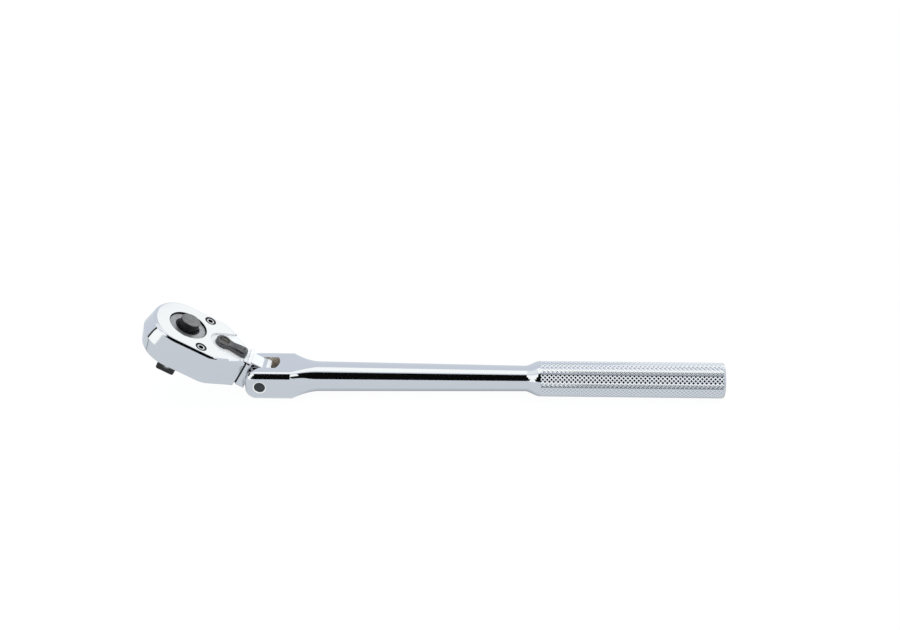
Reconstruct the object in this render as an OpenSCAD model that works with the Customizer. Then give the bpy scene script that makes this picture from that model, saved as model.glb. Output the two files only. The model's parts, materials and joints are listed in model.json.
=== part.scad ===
// Flex head ratchet handle with a 3/8 inch square drive.
// It lies on a bench with the handle along X and the grip towards +X.
// The head is tilted up about the flex pin, whose axis is parallel to Y.

/* [Handle] */
// Length from the flex pin to the end of the grip
handle_len = 231; // [200:1:260]
// Length of the knurled grip
grip_len = 91.5; // [70:0.5:110]
// Diameter over the knurls of the grip
grip_d = 17.8; // [15.5:0.1:19]
// Diameter of the shank beside the fork
shank_d1 = 15; // [13:0.1:16]
// Diameter of the shank beside the grip
shank_d2 = 12.8; // [11:0.1:14]

/* [Fork] */
// Width over both cheeks of the fork
fork_w = 23; // [21:0.1:26]
// Height of the fork
fork_h = 15.8; // [14:0.1:17]
// Width of the slot between the cheeks
slot_w = 10; // [8:0.1:11]
// Length of the straight part of the fork behind the pin
fork_back = 15.5; // [14.5:0.1:18]
// Diameter of the flex pin
pin_d = 5.6; // [4.5:0.1:6.5]

/* [Head] */
// Angle of the head above the line of the handle
head_tilt = 30; // [0:1:50]
// Distance from the flex pin to the drive axis
neck_len = 44.7; // [44:0.1:52]
// Half of the width of the head
head_r = 17.2; // [17:0.1:19]
// Height of the head's cover above the line of the flex pin
head_top = 7.7; // [7.4:0.1:9]
// Depth of the head's underside below the line of the flex pin
head_drop = 9; // [8.6:0.1:10.5]
// Thickness of the cover plate
plate_t = 1; // [0.8:0.1:2]
// Width of the neck where the head meets the fork
neck_w = 15.2; // [14:0.1:16]

/* [Drive] */
// Size of the drive square across its flats
square_w = 9.53; // [9.4:0.01:9.6]
// Length of the drive square below the head
square_len = 11.4; // [10.5:0.1:13]
// Radius of the gear at the tips of its teeth
gear_r = 12; // [11.8:0.1:12.2]
// Radius of the round opening in the cover plate
disc_r = 9.8; // [9.2:0.1:10]
// Height of the release button above the cover plate
button_h = 3.6; // [3.2:0.1:4.5]
// Travel of the release button
button_travel = 2.5; // [1.5:0.1:2.5]

/* [Reversing lever] */
// Distance from the drive axis to the lever's axis
lever_x = 19.3; // [19.2:0.1:19.8]
// Length from the lever's axis to the end of its thumb piece
lever_len = 13.6; // [12:0.1:14]
// Swing of the lever to each side of the middle
lever_swing = 6; // [5:0.5:9]

/* [Hidden] */
$fn = 64;
// clearances: running fit, easy gap, thrust gap
fit = 0.05;
gap = 0.3;
thrust = 0.12;
// colours
chrome = [0.86, 0.87, 0.89];
steel = [0.62, 0.63, 0.65];
oxide = [0.16, 0.16, 0.17];
rubber = [0.07, 0.07, 0.07];

// flex joint: tongue, eye, slot end and neck flange about the pin
pin_r = pin_d / 2;
tongue_t = slot_w - 4 * fit;
eye_r = fork_h / 2 - gap;
tongue_hh = eye_r - 0.6;
slot_r = sqrt(pow(tongue_hh, 2) + pow(fork_h / 2, 2) + pow(slot_w / 2, 2)) + 0.5;
fork_tip = -fork_h / 2 + 0.2;
fork_nose_r = fork_h / 2 - 2.5;
fork_edge_y = 3.6;
fork_edge_z = 3.6;
flange_r = fork_h / 2 + 1.4;
flange_t = 1.9;
flange_up = fork_h / 2 - 0.2;
flange_down = fork_h / 2 + 0.1;
lip_x = flange_r * cos(47);
seam_w = 0.6;
body_end = neck_len - flange_r - flange_t - seam_w;
blend_len = 13.5;
shank_x = fork_back + blend_len;
shank_step = 0.1;
grip_r = grip_d / 2;
grip_x = handle_len - grip_len;
flare_len = 7.5;

// head: levels in the drive frame, z = 0 on the line of the pin
deck = head_top - plate_t;
part_z = -1.4;
nose_bulge = 2.6;
shoulder_r = 10;
taper = 33;
neck_hw = neck_w / 2;
floor_t = 2.8;
floor_z = floor_t - head_drop;
cavity_r = gear_r + 0.4;

// gear and drive
teeth = 36;
tooth_d = 0.9;
mesh_play = 0.15;
gear_z0 = floor_z + thrust;
gear_z1 = deck - thrust;
hub_r = disc_r - 0.7;
disc_z = head_top - 0.8;
hub_z = -head_drop - 0.4;
tip_z = hub_z - square_len;
ball_r = 1.98;
ball_out = 0.95;
ball_z = tip_z + 4.8;
ball_y = square_w / 2 + ball_out - ball_r;
ball_ratio = 0.3;

// release button: cap, flange under the snap ring, spring and rod
cap_r = 4.9;
flange_b = 5.6;
bore_b = flange_b + fit;
ring_t = 0.7;
ring_z = disc_z - 0.15 - ring_t;
button_top = head_top + button_h;
skirt_z = 2.3;
seat_z = skirt_z - button_travel - 3.3;
rod_r = 1.5;
rod_neck = rod_r - ball_ratio * button_travel;
rod_end = ball_z - 0.9;

// selector: pawl under the roof, shaft through it, lever on top
pawl_swing = 0.7 * lever_swing;
roof_t = 2.8;
pawl_z1 = deck - roof_t - thrust;
pawl_z0 = -4;
pocket_z0 = pawl_z0 - thrust;
shaft_r = 2.9;
seal_wire = 0.5;
pilot_r = 1.95;
pilot_z = (pawl_z0 - head_drop) / 2;
hub_o = 5.6;
notch_r = hub_o - 1.4;
plunger_z = (pawl_z0 + pawl_z1) / 2;
plunger_r = 1.05;
plunger_tip = notch_r - gap;
lever_z0 = deck + 0.2;
lever_z1 = head_top + 1.5;
thumb_z = head_top + 2.5;
eye_lr = 4.05;
recess_r = 2.65;
recess_d = 0.9;

// cover screws: countersunk, at the corners of the plate
screw_x = 9.6;
screw_y = head_r - 4.6;
screw_r = 1.45;
screw_head_r = 2.6;
screw_z = head_top - 0.15;
screw_len = 5.8;
screw_head_h = plate_t - 0.15;

// friction plunger in the handle
fp_r = 2;
fp_tip = eye_r + 0.12;
fp_len = 8.2;
fp_bore_end = fp_tip + fp_len + 8.5;

// outline of the head seen from above: half of it, as [x, y, normal x, normal y]
shoulder_x = body_end - shoulder_r * sin(taper)
  - (head_r - shoulder_r * (1 - cos(taper)) - neck_hw) / tan(taper);
shoulder_px = shoulder_x + shoulder_r * sin(taper);
shoulder_py = head_r - shoulder_r * (1 - cos(taper));
nose_n = 14;
half_outline = concat(
  [for (k = [0:nose_n]) let(a = 180 - 90 * (k + 0.5) / (nose_n + 0.5))
    [head_r * cos(a) - nose_bulge, head_r * sin(a), cos(a), sin(a)]],
  [for (k = [1:3]) [-nose_bulge + (shoulder_x + nose_bulge) * k / 4, head_r, 0, 1]],
  [for (k = [0:5]) let(b = taper * k / 5)
    [shoulder_x + shoulder_r * sin(b), head_r - shoulder_r * (1 - cos(b)), sin(b), cos(b)]],
  [for (k = [1:4]) let(f = k / 5)
    [shoulder_px + (body_end - shoulder_px) * f, shoulder_py + (neck_hw - shoulder_py) * f,
      sin(taper), cos(taper)]],
  [[body_end, neck_hw, 0, 1]]);
half_n = len(half_outline);
ring_n = 2 * half_n;

function clamp01(v) = min(1, max(0, v));
function ease(v) = let(c = clamp01(v)) c * c * (3 - 2 * c);
// how far a point of the outline faces the nose, and how far it is into the neck
function nose_w(p) = pow(max(0, -p[2]), 2);
function neck_f(p) = ease((p[0] - shoulder_px) / (body_end - shoulder_px));
// quarter round of radius r ending at height 0: how far it stands in at depth d
function round_in(d, r) = d >= r ? 0 : r - sqrt(max(0, r * r - pow(r - d, 2)));
// how far the wall stands in at height z
function wall_in(p, z) = (z < part_z
  ? (part_z - z) / (part_z + head_drop) * (0.3 + 1.9 * nose_w(p))
    + round_in(z + head_drop, 1 + 0.3 * neck_f(p))
  : (z - part_z) / (head_top - part_z) * (0.1 + 2.1 * nose_w(p)));
function neck_top_in(p, z) = neck_f(p) * round_in(deck - z, 2.4);
function ring_at(z, top, edge) = [for (i = [0:ring_n - 1])
  let(p = half_outline[i < half_n ? i : ring_n - 1 - i], s = i < half_n ? 1 : -1,
    d = wall_in(p, z) + (top ? neck_top_in(p, z) : 0) + edge)
  [p[0] - d * p[2], s * (p[1] - d * p[3]), z]];

// solid between stacked rings that share one mirrored outline
module stacked(rings) {
  n = len(rings[0]);
  h = n / 2;
  m = len(rings);
  polyhedron(
    points = [for (r = rings) for (p = r) p],
    faces = concat(
      [for (k = [0:m - 2]) for (i = [0:n - 1]) let(j = (i + 1) % n)
        [k * n + i, k * n + j, (k + 1) * n + j]],
      [for (k = [0:m - 2]) for (i = [0:n - 1]) let(j = (i + 1) % n)
        [k * n + i, (k + 1) * n + j, (k + 1) * n + i]],
      [for (i = [0:h - 2]) [i + 1, i, n - 1 - i, n - 2 - i]],
      [for (i = [0:h - 2]) let(o = (m - 1) * n) [o + i, o + i + 1, o + n - 2 - i, o + n - 1 - i]]),
    convexity = 6);
}

body_levels = [-head_drop, -head_drop + 0.13, -head_drop + 0.5, -head_drop + 1, -head_drop + 2.4,
  part_z, deck - 2.4, deck - 1.2, deck - 0.35, deck];
body_rings = [for (z = body_levels) ring_at(z, true, 0)];
plate_levels = [[deck, 0], [head_top - 0.75, 0], [head_top - 0.45, 0.08],
  [head_top - 0.15, 0.35], [head_top, 0.7]];
plate_rings = [for (v = plate_levels) ring_at(v[0], false, v[1])];

// placing: the part is centred along X and lies on z = 0
nose_x = min([for (r = body_rings) for (p = r) (p[0] - neck_len) * cos(head_tilt) + p[2] * sin(head_tilt)]);
pivot_x = -(handle_len + nose_x) / 2;
pivot_z = grip_r;

module in_handle() {
  translate([pivot_x, 0, pivot_z]) children();
}
module in_head() {
  in_handle() rotate([0, head_tilt, 0]) translate([-neck_len, 0, 0]) children();
}
module in_lever() {
  in_head() translate([lever_x, 0, 0]) rotate([0, 0, -lever_swing]) children();
}

// section of the handle at x: rounded rectangle that turns into a circle
sec_n = 12;
function sec_pt(k, a, b, rx, ry) = let(q = floor(k / sec_n),
    t = 90 * (k - q * sec_n) / (sec_n - 1) + 90 * q,
    sy = (q == 0 || q == 3) ? 1 : -1, sz = q < 2 ? 1 : -1)
  [sy * (a - rx) + rx * cos(t), sz * (b - ry) + ry * sin(t)];
function sec_ring(x, f) = let(r = shank_d1 / 2 - shank_step, e = 1 - pow(1 - f, 1.8),
    a = fork_w / 2 + (r - fork_w / 2) * e, b = fork_h / 2 + (r - fork_h / 2) * e,
    rx = fork_edge_y + (r - 0.03 - fork_edge_y) * e, ry = fork_edge_z + (r - 0.03 - fork_edge_z) * e)
  [for (k = [0:4 * sec_n - 1]) let(p = sec_pt(4 * sec_n - 1 - k, a, b, rx, ry)) [x, p[0], p[1]]];
fork_rings = concat([sec_ring(-fork_h, 0)],
  [for (k = [0:8]) sec_ring(fork_back + blend_len * k / 8, k / 8)]);

// fork from the side: a blunt nose with rounded corners, just clear of the fork's top and underside
fork_side_h = fork_h / 2 + 0.25;
nose_arc = [for (k = [0:9]) let(a = 90 + 10 * k)
  [fork_tip + fork_nose_r * (1 + cos(a)), fork_side_h - fork_nose_r * (1 - sin(a))]];
fork_side = concat(nose_arc, [for (k = [0:9]) [nose_arc[9 - k][0], -nose_arc[9 - k][1]]],
  [[shank_x + 5, -fork_side_h], [shank_x + 5, fork_side_h]]);

// round wire coil standing on z = 0, from the middle of its first turn to the middle of its last
module coil(r, wire, h, turns) {
  seg = 14;
  m = 6;
  n = turns * seg;
  pitch = (h - 2 * wire) / turns;
  polyhedron(
    points = [for (i = [0:n]) let(a = 360 * i / seg, z = wire + pitch * i / seg)
      for (k = [0:m - 1]) let(b = 360 * k / m)
        [(r + wire * cos(b)) * cos(a), (r + wire * cos(b)) * sin(a), z + wire * sin(b)]],
    faces = concat(
      [for (i = [0:n - 1]) for (k = [0:m - 1]) let(j = (k + 1) % m)
        [i * m + k, i * m + j, (i + 1) * m + j]],
      [for (i = [0:n - 1]) for (k = [0:m - 1]) let(j = (k + 1) % m)
        [i * m + k, (i + 1) * m + j, (i + 1) * m + k]],
      [[for (k = [0:m - 1]) m - 1 - k]],
      [[for (k = [0:m - 1]) n * m + k]]),
    convexity = 10);
}

// forged handle: fork, shank, flare and grip in one piece
module handle() {
  color(chrome) in_handle() difference() {
    union() {
      intersection() {
        stacked(fork_rings);
        rotate([90, 0, 0]) linear_extrude(height = fork_w + 4, center = true) polygon(fork_side);
      }
      translate([shank_x, 0, 0]) rotate([0, 90, 0]) rotate_extrude() polygon(concat(
        [[0, 0], [shank_d1 / 2, 0]],
        [for (k = [0:8]) let(f = k / 8)
          [shank_d2 / 2 + (grip_r - 0.3 - shank_d2 / 2) * ease(f), grip_x - shank_x - flare_len * (1 - f)]],
        [[grip_r, grip_x - shank_x + 0.6], [grip_r, handle_len - shank_x - 0.8],
          [grip_r - 0.25, handle_len - shank_x - 0.25], [grip_r - 0.8, handle_len - shank_x],
          [0, handle_len - shank_x]]));
    }
    intersection() {
      sphere(r = slot_r);
      cube([4 * slot_r, slot_w, 4 * slot_r], center = true);
    }
    translate([-2 * fork_h, -slot_w / 2, -fork_h]) cube([2 * fork_h, slot_w, 2 * fork_h]);
    rotate([90, 0, 0]) cylinder(r = pin_r + 0.01, h = fork_w + 2, center = true);
    for (s = [-1, 1]) translate([0, s * fork_w / 2, 0]) rotate([90 * s, 0, 0])
      translate([0, 0, -0.01]) cylinder(r1 = pin_r + 0.4, r2 = pin_r, h = 0.4);
    rotate([0, 90, 0]) cylinder(r = fp_r + fit, h = fp_bore_end);
  }
}

// hardened pin, a press fit in both cheeks
module pivot_pin() {
  color(oxide) in_handle() rotate([90, 0, 0]) union() {
    cylinder(r = pin_r, h = fork_w - 1.2, center = true);
    for (s = [0, 1]) mirror([0, 0, s]) translate([0, 0, fork_w / 2 - 0.6])
      cylinder(r1 = pin_r, r2 = pin_r - 0.35, h = 0.35);
  }
}

// spring loaded plunger that rubs on the eye and holds the head's angle
module friction_plunger() {
  color(steel) in_handle() rotate([0, 90, 0]) rotate_extrude() polygon([
    [0, fp_tip], [fp_r - 0.7, fp_tip], [fp_r - 0.2, fp_tip + 0.3], [fp_r, fp_tip + 0.8],
    [fp_r, fp_tip + fp_len], [fp_r - 0.9, fp_tip + fp_len], [fp_r - 0.9, fp_tip + fp_len - 3],
    [0, fp_tip + fp_len - 3]]);
}

module friction_spring() {
  color(steel) in_handle() translate([fp_tip + fp_len + 0.05, 0, 0]) rotate([0, 90, 0])
    coil(fp_r - 0.5, 0.3, fp_bore_end - fp_tip - fp_len - 0.1, 7);
}

// near edge of the pawl's pocket, from the gear well to the pawl's hub
pocket_share = [[0.5, 0.475], [0.625, 0.6], [0.908, 0.817], [1.042, 0.925], [1.133, 0.917]];
pocket_edge = concat(
  [for (p = pocket_share) [gear_r * p[0], -gear_r * p[1]]],
  [[lever_x + 0.11 * hub_o, -1.08 * hub_o]]);

// pocket that the pawl rocks in, seen from above
module pocket_2d() {
  union() {
    translate([lever_x, 0]) circle(r = hub_o + 0.5);
    polygon([for (s = [1, -1]) for (k = [0:5]) let(p = pocket_edge[s > 0 ? k : 5 - k]) [p[0], s * p[1]]]);
  }
}

// forged head with the gear well, the pawl's pocket, the neck flange and the tongue
module head_body() {
  color(chrome) in_head() difference() {
    union() {
      stacked(body_rings);
      // seam core, then the flange with its lower lip hollowed about the pin
      translate([body_end - 0.5, 0, 0]) rotate([90, 0, 90]) linear_extrude(height = seam_w + 1)
        neck_2d(0.9);
      difference() {
        translate([body_end + seam_w, 0, 0]) rotate([90, 0, 90])
          linear_extrude(height = flange_t + flange_r - lip_x) neck_2d(0.25);
        translate([neck_len, 0, 0]) rotate([90, 0, 0])
          cylinder(r = flange_r, h = 2 * neck_w, center = true);
        translate([neck_len - flange_r, -neck_w, 0]) cube([flange_r, 2 * neck_w, fork_h]);
      }
      translate([neck_len, 0, 0]) rotate([90, 0, 0])
        linear_extrude(height = tongue_t, center = true) union() {
          circle(r = eye_r);
          translate([-flange_r - 1, -tongue_hh]) square([flange_r + 1, 2 * tongue_hh]);
        }
    }
    translate([0, 0, floor_z]) cylinder(r = cavity_r, h = head_top + head_drop);
    translate([0, 0, -head_drop - 1]) cylinder(r = hub_r + fit, h = head_drop);
    translate([0, 0, pocket_z0]) linear_extrude(height = pawl_z1 - pawl_z0 + 2 * thrust) pocket_2d();
    translate([lever_x, 0, 0]) cylinder(r = shaft_r + fit, h = head_top + 2);
    translate([lever_x, 0, deck - 2 * seal_wire - fit])
      cylinder(r = shaft_r + 2 * seal_wire + 2 * fit, h = 2 * seal_wire + 1);
    translate([lever_x, 0, pilot_z - 0.2]) cylinder(r = pilot_r + fit, h = -pilot_z);
    // room for the lever's swing
    translate([lever_x, 0, deck + fit]) cylinder(r = lever_len + gap, h = head_top);
    for (s = [-1, 1]) translate([screw_x, s * screw_y, screw_z - screw_len - 0.4])
      cylinder(r = screw_r + fit, h = screw_len + 1);
    translate([neck_len, 0, 0]) rotate([90, 0, 0]) cylinder(r = pin_r + fit, h = fork_w, center = true);
  }
}

// section of the neck flange, standing in from the neck's edge
module neck_2d(inset) {
  a = neck_hw - inset;
  u = flange_up - inset;
  d = flange_down - inset;
  c = 1.8;
  union() {
    translate([-a, -d + c]) square([2 * a, u + d - 2 * c]);
    translate([-a + c, -d]) square([2 * a - 2 * c, u + d]);
    for (s = [-1, 1]) {
      translate([s * (a - c), u - c]) circle(r = c);
      translate([s * (a - c), -d + c]) circle(r = c);
    }
  }
}

// cover plate, open round the gear's disc and cut back in a fan round the lever
module cover_plate() {
  fan_r = 6.9;
  fan_a = 35;
  fan_out = 2 * head_r;
  color(chrome) in_head() difference() {
    stacked(plate_rings);
    translate([0, 0, deck - 1]) cylinder(r = disc_r, h = plate_t + 2);
    translate([lever_x, 0, deck - 1]) linear_extrude(height = plate_t + 2) polygon(concat(
      [for (k = [0:24]) let(a = 90 + fan_a + (180 - 2 * fan_a) * k / 24) [fan_r * cos(a), fan_r * sin(a)]],
      [for (s = [-1, 1]) [fan_out, s * (fan_r / cos(fan_a) + fan_out * tan(fan_a))]]));
    for (s = [-1, 1]) translate([screw_x, s * screw_y, 0]) {
      translate([0, 0, deck - 1]) cylinder(r = screw_r + 0.15, h = plate_t + 2);
      translate([0, 0, screw_z - screw_head_h - fit])
        cylinder(r1 = screw_r + fit, r2 = screw_head_r + 0.25, h = screw_head_h + fit + 0.16);
    }
  }
}

// two countersunk socket screws
module cover_screws() {
  color(steel) in_head() for (s = [-1, 1]) translate([screw_x, s * screw_y, screw_z]) difference() {
    union() {
      translate([0, 0, -screw_head_h]) cylinder(r1 = screw_r, r2 = screw_head_r, h = screw_head_h);
      translate([0, 0, -screw_len]) cylinder(r = screw_r, h = screw_len - screw_head_h + 0.1);
    }
    translate([0, 0, -1]) cylinder(r = 2 / sqrt(3), h = 2, $fn = 6);
  }
}

// outline of the gear, with a space for play
function gear_pts(play) = [for (i = [0:teeth - 1]) for (k = [0:3])
  let(a = (i + [-0.09, 0.09, 0.41, 0.59][k]) * 360 / teeth, r = gear_r + play - (k < 2 ? 0 : tooth_d))
  [r * cos(a), r * sin(a)]];

// gear, disc and drive square in one piece
module drive_gear() {
  color(oxide) in_head() difference() {
    union() {
      translate([0, 0, gear_z0]) linear_extrude(height = gear_z1 - gear_z0) polygon(gear_pts(0));
      translate([0, 0, gear_z1 - 1]) cylinder(r = disc_r - 0.25, h = disc_z - gear_z1 + 1);
      translate([0, 0, hub_z]) cylinder(r = hub_r, h = gear_z0 - hub_z + 1);
      translate([-square_w / 2, -square_w / 2, tip_z + 0.8]) cube([square_w, square_w, square_len + 0.2]);
      intersection() {
        translate([-square_w / 2, -square_w / 2, tip_z]) cube([square_w, square_w, 1.2]);
        translate([0, 0, tip_z]) rotate([0, 0, 45])
          cylinder(r1 = square_w / sqrt(2) - 0.9, r2 = square_w / sqrt(2) + 0.5, h = 1.4, $fn = 4);
      }
    }
    translate([0, 0, seat_z]) cylinder(r = bore_b, h = 30);
    translate([0, 0, ring_z]) cylinder(r = flange_b + 0.65, h = ring_t + 0.02);
    translate([0, 0, rod_end - button_travel - 0.2]) cylinder(r = rod_r + fit, h = 30);
    translate([0, 0, ball_z]) rotate([90, 0, 0]) cylinder(r = ball_r + fit, h = square_w);
  }
}

// open ring sprung into the groove of the gear, over the button's flange
module snap_ring() {
  color(steel) in_head() translate([0, 0, ring_z + 0.01]) linear_extrude(height = ring_t) difference() {
    circle(r = flange_b + 0.6);
    circle(r = cap_r + 0.12);
    translate([0, -1.1]) square([10, 2.2]);
  }
}

// button with a flange that stops under the snap ring
module release_button() {
  color(oxide) in_head() rotate_extrude() polygon([
    [rod_r + 0.005, skirt_z], [flange_b, skirt_z], [flange_b, ring_z - thrust], [cap_r, ring_z - thrust],
    [cap_r, button_top - 1.6], [cap_r - 0.25, button_top - 0.5], [cap_r - 0.55, button_top - 0.1],
    [cap_r - 0.85, button_top], [0, button_top], [0, skirt_z + 3], [rod_r + 0.005, skirt_z + 3]]);
}

// rod pressed into the button: full size behind the ball, with a waist above it
module release_rod() {
  waist = ball_z + button_travel;
  color(steel) in_head() rotate_extrude() polygon([
    [0, rod_end], [rod_r, rod_end], [rod_r, ball_z], [rod_neck, waist], [rod_neck, waist + 0.5],
    [rod_r, waist + 1.5], [rod_r, skirt_z + 2.9], [0, skirt_z + 2.9]]);
}

module button_spring() {
  color(steel) in_head() translate([0, 0, seat_z + 0.05]) coil(3.6, 0.35, skirt_z - seat_z - 0.1, 4);
}

// ball that holds the socket, in the near flat of the drive square
module detent_ball() {
  color(steel) in_head() translate([0, -ball_y, ball_z]) sphere(r = ball_r);
}

// reversing lever: round end, waist and thicker thumb piece
module reversing_lever() {
  t0 = lever_len - 8;
  color(oxide) in_lever() difference() {
    union() {
      translate([0, 0, lever_z0]) cylinder(r = eye_lr, h = lever_z1 - lever_z0);
      translate([0, 0, lever_z0]) linear_extrude(height = lever_z1 - lever_z0 - 0.1)
        polygon([[0, 3.8], [t0 - 1, 2.95], [t0 + 2, 3.1], [t0 + 2, -3.1], [t0 - 1, -2.95], [0, -3.8]]);
      intersection() {
        translate([0, 0, lever_z0]) linear_extrude(height = thumb_z - lever_z0) union() {
          polygon([[t0, 3], [lever_len - 2.2, 3.45], [lever_len - 2.2, -3.45], [t0, -3]]);
          translate([lever_len - 2.2, -1.25]) square([2.2, 2.5]);
          for (s = [-1, 1]) translate([lever_len - 2.2, s * 1.25]) circle(r = 2.2);
        }
        rotate([90, 0, 0]) linear_extrude(height = 20, center = true) polygon([
          [t0 - 0.5, lever_z0 - 1], [lever_len + 1, lever_z0 - 1], [lever_len + 1, thumb_z - 1.3],
          [lever_len - 0.3, thumb_z - 0.5], [lever_len - 1.4, thumb_z], [t0 + 3.2, thumb_z],
          [t0 + 1.2, lever_z1 + 0.4], [t0 - 0.5, lever_z1 - 0.6]]);
        rotate([90, 0, 90]) linear_extrude(height = 40, center = true) polygon([
          [-5, lever_z0 - 1], [5, lever_z0 - 1], [5, thumb_z - 2.2], [3.3, thumb_z - 1.2],
          [2.2, thumb_z - 0.3], [1.1, thumb_z], [-1.1, thumb_z], [-2.2, thumb_z - 0.3],
          [-3.3, thumb_z - 1.2], [-5, thumb_z - 2.2]]);
      }
    }
    translate([0, 0, lever_z1 - recess_d]) cylinder(r = recess_r, h = 4);
    translate([0, 0, lever_z0 - 1]) cylinder(r = 1.4 + fit, h = 6);
  }
}

// slotted screw that clamps the lever on its shaft
module lever_screw() {
  color(steel) in_lever() difference() {
    union() {
      translate([0, 0, lever_z1 - recess_d]) cylinder(r = recess_r - gap, h = 0.55);
      translate([0, 0, deck - 2.2]) cylinder(r = 1.4, h = lever_z1 - recess_d - deck + 2.3);
    }
    translate([-3, -0.3, lever_z1 - recess_d + 0.25]) cube([6, 0.6, 1]);
  }
}

// rubber ring in the groove round the shaft, which keeps dirt out of the head
module lever_seal() {
  color(rubber) in_head() translate([lever_x, 0, deck - seal_wire]) rotate_extrude()
    translate([shaft_r + fit + seal_wire, 0]) circle(r = seal_wire);
}

// shaft under the lever: it carries the pawl and holds the spring and plunger across it
module selector_shaft() {
  color(steel) in_lever() difference() {
    union() {
      translate([0, 0, pawl_z0]) cylinder(r = shaft_r, h = lever_z0 - pawl_z0);
      translate([0, 0, pilot_z]) cylinder(r = pilot_r, h = pawl_z0 - pilot_z + 0.5);
    }
    translate([0, 0, deck - 2.4]) cylinder(r = 1.4 + 0.01, h = 5);
    translate([-1.9, 0, plunger_z]) rotate([0, 90, 0]) cylinder(r = plunger_r + fit, h = 10);
  }
}

module selector_spring() {
  color(steel) in_lever() translate([-1.85, 0, plunger_z]) rotate([0, 90, 0])
    coil(0.72, 0.18, 3, 4);
}

module selector_plunger() {
  color(steel) in_lever() translate([0, 0, plunger_z]) rotate([0, 90, 0]) rotate_extrude() polygon([
    [0, 1.2], [plunger_r, 1.2], [plunger_r, plunger_tip - 0.6], [plunger_r - 0.2, plunger_tip - 0.25],
    [plunger_r - 0.55, plunger_tip], [0, plunger_tip]]);
}

// two horned pawl: one horn is in mesh at each end of the lever's swing
module pawl() {
  color(steel) in_head() translate([lever_x, 0, pawl_z0]) rotate([0, 0, -pawl_swing])
    linear_extrude(height = pawl_z1 - pawl_z0) difference() {
      union() {
        circle(r = hub_o);
        for (s = [0, 1]) mirror([0, s]) rotate(pawl_swing) translate([-lever_x, 0]) difference() {
          polygon([[gear_r * 0.822, -gear_r * 0.299], [gear_r * 0.67, -gear_r * 0.5625],
            [gear_r * 0.932, -gear_r * 0.782], [lever_x - hub_o * 0.286, -hub_o * 0.911],
            [lever_x - hub_o * 0.625, -hub_o * 0.446]]);
          // the gear's path as the pawl rocks out of mesh
          for (k = [0:3]) translate([lever_x, 0]) rotate(-pawl_swing * k / 3) translate([-lever_x, 0])
            polygon(gear_pts(mesh_play));
        }
      }
      circle(r = shaft_r + fit);
      translate([0, -1.55]) square([notch_r, 3.1]);
    }
}

handle();
pivot_pin();
friction_plunger();
friction_spring();
head_body();
cover_plate();
cover_screws();
drive_gear();
snap_ring();
release_button();
release_rod();
button_spring();
detent_ball();
reversing_lever();
lever_screw();
lever_seal();
selector_shaft();
selector_spring();
selector_plunger();
pawl();
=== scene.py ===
import json
import math

import bmesh
import bpy
from mathutils import Matrix, Vector


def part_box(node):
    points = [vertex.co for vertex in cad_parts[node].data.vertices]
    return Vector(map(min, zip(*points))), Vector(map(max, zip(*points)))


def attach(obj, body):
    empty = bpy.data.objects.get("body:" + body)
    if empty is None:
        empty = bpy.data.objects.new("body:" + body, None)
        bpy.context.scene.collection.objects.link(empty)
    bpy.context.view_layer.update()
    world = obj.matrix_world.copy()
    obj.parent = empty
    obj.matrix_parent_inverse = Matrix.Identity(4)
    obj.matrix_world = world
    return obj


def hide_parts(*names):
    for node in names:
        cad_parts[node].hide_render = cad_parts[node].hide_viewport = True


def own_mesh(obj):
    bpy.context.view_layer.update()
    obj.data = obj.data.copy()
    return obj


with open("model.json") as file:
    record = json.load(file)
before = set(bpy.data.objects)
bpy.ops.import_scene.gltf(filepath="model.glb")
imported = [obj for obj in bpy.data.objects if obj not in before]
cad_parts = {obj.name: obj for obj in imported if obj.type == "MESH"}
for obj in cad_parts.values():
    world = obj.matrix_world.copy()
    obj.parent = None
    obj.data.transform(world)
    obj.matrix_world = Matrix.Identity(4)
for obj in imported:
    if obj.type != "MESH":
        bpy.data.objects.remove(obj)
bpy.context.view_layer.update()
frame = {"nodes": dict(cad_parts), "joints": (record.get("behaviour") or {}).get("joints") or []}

# Handle: fork, round shank, flare and grip.
# One drop forged bar of tool steel. The grip is rolled with a diamond knurl, the slot and the pin hole
# are milled, and then the whole bar is polished and plated with bright chrome.
MM = 0.001
joints = {joint["name"]: joint for joint in frame["joints"]}
flex_pin = Vector(joints["head_flex"]["pos_m"])
handle_low, handle_high = [Vector(corner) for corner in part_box("handle")]
handle_place = Matrix.Translation(flex_pin)
handle_len = (handle_high.x - flex_pin.x) / MM
grip_r = (handle_high.z - handle_low.z) / MM / 2
fork_w = (handle_high.y - handle_low.y) / MM
fork_h = 15.8
fork_back = 15.5
fork_tip = (handle_low.x - flex_pin.x) / MM
fork_nose_r = fork_h / 2 - 2.5
fork_edge_arcs = ((2.9, 0, 42, 5), (5.5, 42, 71, 4), (2.0, 71, 90, 2))
blend_len = 13.5
shank_r1 = 7.5
shank_r2 = 6.4
flare_len = 7.5
grip_len = 91.5
grip_x = handle_len - grip_len
slot_w = 10.0
eye_r = fork_h / 2 - 0.3
tongue_hh = eye_r - 0.6
slot_end_r = math.sqrt(tongue_hh ** 2 + (fork_h / 2) ** 2 + (slot_w / 2) ** 2) + 0.5
slot_edge_r = 0.35
pin_r = 2.8
plunger_bore_r = 2.05
plunger_bore_end = eye_r + 16.82
ring_n = 104
top_n = 36
side_n = 16
knurl_starts = 26
knurl_depth = 0.15
knurl_groove = 0.36
knurl_rows = 84
knurl_x = grip_x + 0.3
knurl_step = (grip_len - 1.4) / knurl_rows
butt_edge = ((0.55, 0.3), (0.3, 0.45), (0.1, 0.7), (0, 1.05), (0, 4.6), (0.3, 5.0))


def ease(t):
    """A soft step from 0 to 1."""
    t = min(1.0, max(0.0, t))
    return t * t * (3 - 2 * t)


def spread(low, high, count):
    """Values spaced evenly from low to high, both ends included."""
    return [low + (high - low) * i / (count - 1) for i in range(count)]


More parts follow.
